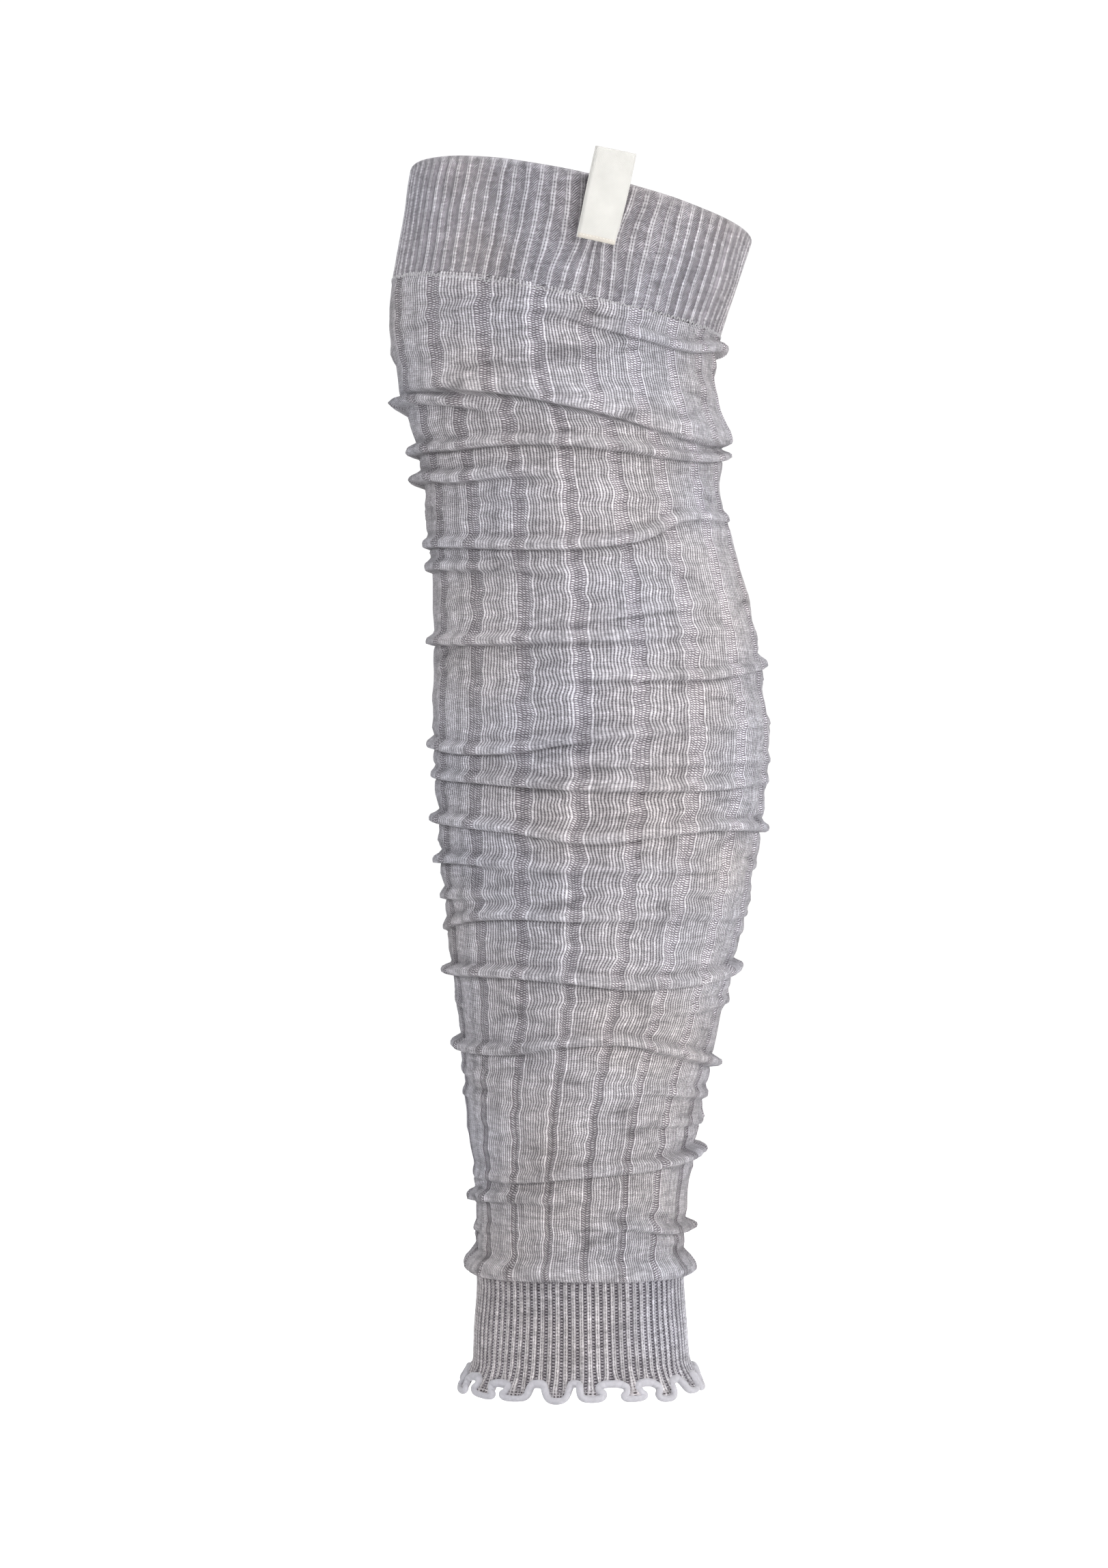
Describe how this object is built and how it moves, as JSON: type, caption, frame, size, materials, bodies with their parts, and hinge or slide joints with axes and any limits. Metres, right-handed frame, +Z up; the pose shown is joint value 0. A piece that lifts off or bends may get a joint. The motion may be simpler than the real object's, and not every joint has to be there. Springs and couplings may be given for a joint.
{
  "type": "overknee leg warmer",
  "caption": "Slouched rib-knit overknee leg warmer filled out as worn: ribbed thigh cuff with a loop label, wide-rib leg with folds, ribbed ankle cuff with a ruffled overlocked hem.",
  "frame": {"origin": "middle of the thigh cuff, where the thigh holds the garment up", "axes": "+Z up the leg, +X towards the calf, +Y towards the inner side of the leg"},
  "size_m": [0.1481, 0.1304, 0.4713],
  "materials": {
    "grey_rib_knit": "matt heather grey knit",
    "pale_overlock_thread": "soft thick thread",
    "ivory_ribbon": "fine satin-edged woven ribbon"
  },
  "bodies": {
    "root": {"thigh_cuff": "grey_rib_knit", "leg_tube": "grey_rib_knit", "ankle_cuff": "grey_rib_knit", "overlocked_edge": "pale_overlock_thread", "loop_label": "ivory_ribbon"}
  },
  "joints": []
}
